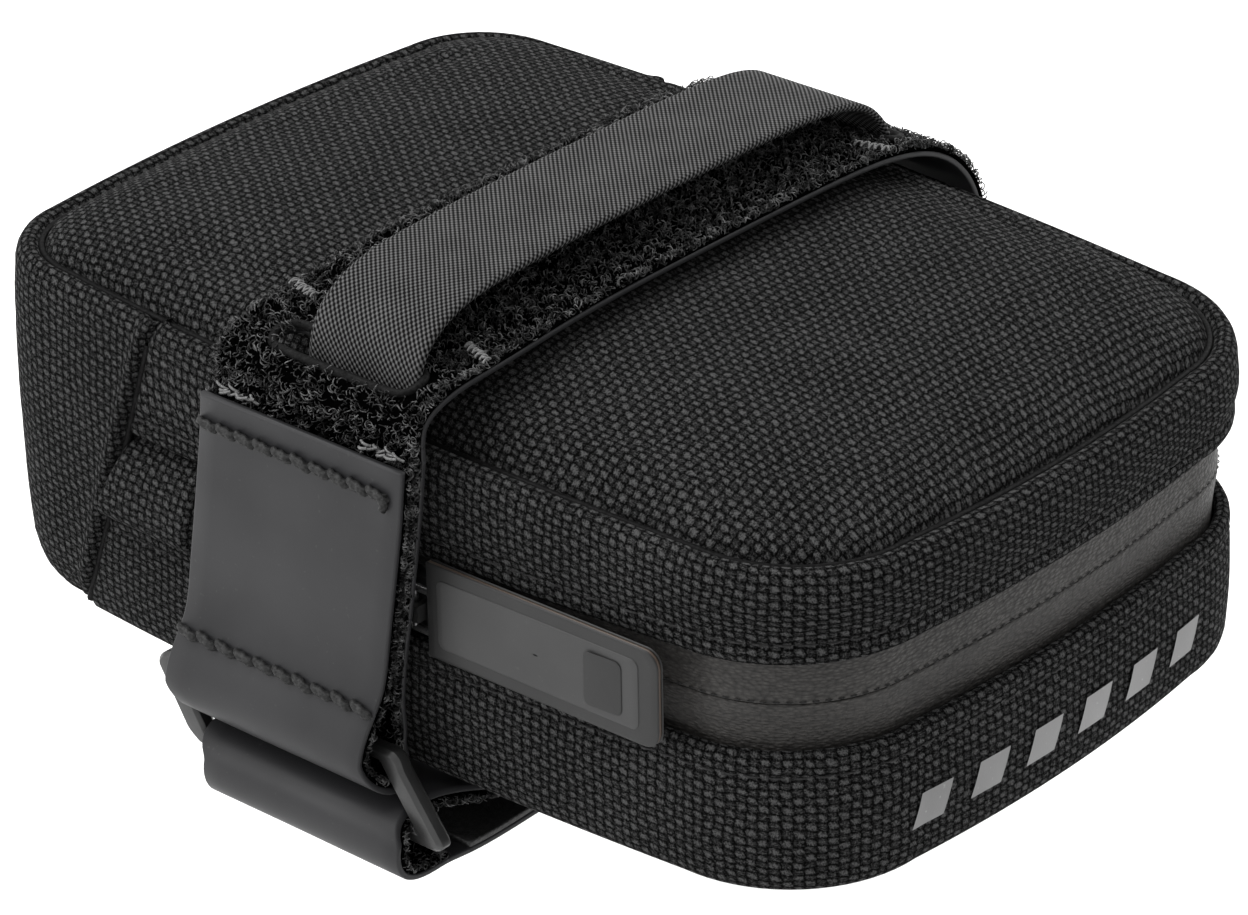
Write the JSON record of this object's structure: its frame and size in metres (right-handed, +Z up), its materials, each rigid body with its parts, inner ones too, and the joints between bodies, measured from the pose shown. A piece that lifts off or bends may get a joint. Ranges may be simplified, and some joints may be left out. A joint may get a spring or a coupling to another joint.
{
  "type": "saddle bag",
  "caption": "Flat box-shaped bicycle saddle bag with a clamshell zip, hook-and-loop strap, ring and webbing band for the saddle rails.",
  "frame": {"origin": "middle of the rail tunnel, between the webbing band and the strap on top of the bag", "axes": "+X along the bag to the tail end (rearward on the bicycle), +Y across it away from the ring side, +Z up"},
  "size_m": [0.1283, 0.1039, 0.0678],
  "materials": {
    "weave": "coarse black basket-weave polyester",
    "foam": "closed-cell foam board",
    "lining": "plain dark grey woven lining",
    "binding": "black grosgrain seam binding",
    "coated_tape": "water-resistant zip tape with a semi-matte coating",
    "coil": "black nylon coil",
    "print": "grey reflective print",
    "strap_backing": "smooth matte dark grey film backing",
    "pile": "black loop pile",
    "hooks": "black hook tape",
    "webbing": "fine grey-black twill webbing",
    "thread_grey": "light grey bartack thread",
    "thread_black": "thick black thread",
    "ring_metal": "satin dark grey paint",
    "slider_metal": "satin black paint",
    "link": "black cord link",
    "tab": "layered grey laminate, brownish cut edge",
    "tab_panel": "lighter grey film panel"
  },
  "bodies": {
    "upper_shell": {"top_panel": "weave", "top_foam_board": "foam", "top_seam_binding": "binding", "upper_gusset": "weave", "upper_gusset_stiffener": "foam", "upper_lining": "lining", "spine_panel": "weave", "spine_stiffener": "foam", "zip_end_cover_near": "weave", "zip_end_cover_far": "weave", "upper_zip_tape": "coated_tape", "upper_zip_coil": "coil", "top_strap_backing": "strap_backing", "top_strap_pile": "pile", "webbing_band": "webbing", "bartack_stitches": "thread_grey"},
    "lower_shell": {"bottom_panel": "weave", "bottom_foam_board": "foam", "bottom_seam_binding": "binding", "lower_gusset": "weave", "lower_gusset_stiffener": "foam", "lower_lining": "lining", "lower_zip_tape": "coated_tape", "lower_zip_coil": "coil", "reflective_print": "print"},
    "near_strap": {"near_strap_backing": "strap_backing", "near_strap_pile": "pile", "flap_stitches": "thread_black"},
    "ring": {"ring": "ring_metal"},
    "far_strap": {"far_strap_backing": "strap_backing", "far_strap_pile": "pile"},
    "under_strap": {"under_strap_backing": "strap_backing", "under_strap_pile": "pile", "strap_fold": "strap_backing"},
    "strap_tail": {"strap_tail_backing": "strap_backing", "strap_tail_hooks": "hooks"},
    "slider": {"zip_slider": "slider_metal", "slider_bridge": "slider_metal"},
    "pull_tab": {"pull_link": "link", "pull_tab": "tab", "pull_tab_panel": "tab_panel"}
  },
  "joints": [
    {"name": "strap_release", "type": "hinge", "parent": "upper_shell", "child": "far_strap", "pos_m": [-0.0042, 0.0493, -0.018], "axis": [1, 0, 0], "range_deg": [0, 75]},
    {"name": "under_strap_unfold", "type": "hinge", "parent": "far_strap", "child": "under_strap", "pos_m": [-0.0042, 0.0493, -0.0518], "axis": [1, 0, 0], "range_deg": [0, 90], "deforming": ["strap_fold"]},
    {"name": "tail_peel", "type": "hinge", "parent": "under_strap", "child": "strap_tail", "pos_m": [-0.0042, -0.0433, -0.0618], "axis": [-1, 0, 0], "range_deg": [0, 120]},
    {"name": "near_strap_swing", "type": "hinge", "parent": "upper_shell", "child": "near_strap", "pos_m": [-0.0042, -0.0497, -0.0104], "axis": [-1, 0, 0], "range_deg": [0, 60]},
    {"name": "ring_swing", "type": "hinge", "parent": "near_strap", "child": "ring", "pos_m": [-0.0042, -0.0506, -0.0483], "axis": [1, 0, 0], "range_deg": [0, 37.5]},
    {"name": "shell_open", "type": "hinge", "parent": "upper_shell", "child": "lower_shell", "pos_m": [-0.0656, 0, -0.0512], "axis": [0, 1, 0], "range_deg": [0, 27]},
    {"name": "slider_run", "type": "slide", "parent": "upper_shell", "child": "slider", "axis": [1, 0, 0], "range_m": [0, 0.026]},
    {"name": "tab_swing", "type": "hinge", "parent": "slider", "child": "pull_tab", "pos_m": [0.0077, -0.04595, -0.0311], "axis": [0, 0, -1], "range_deg": [0, 14]}
  ],
  "couplings": [
    {"joint": "under_strap_unfold", "follows": "strap_release", "ratio": 1.2},
    {"joint": "near_strap_swing", "follows": "strap_release", "ratio": 0.8},
    {"joint": "ring_swing", "follows": "strap_release", "ratio": 0.5},
    {"joint": "shell_open", "follows": "strap_release", "ratio": 0.36}
  ]
}
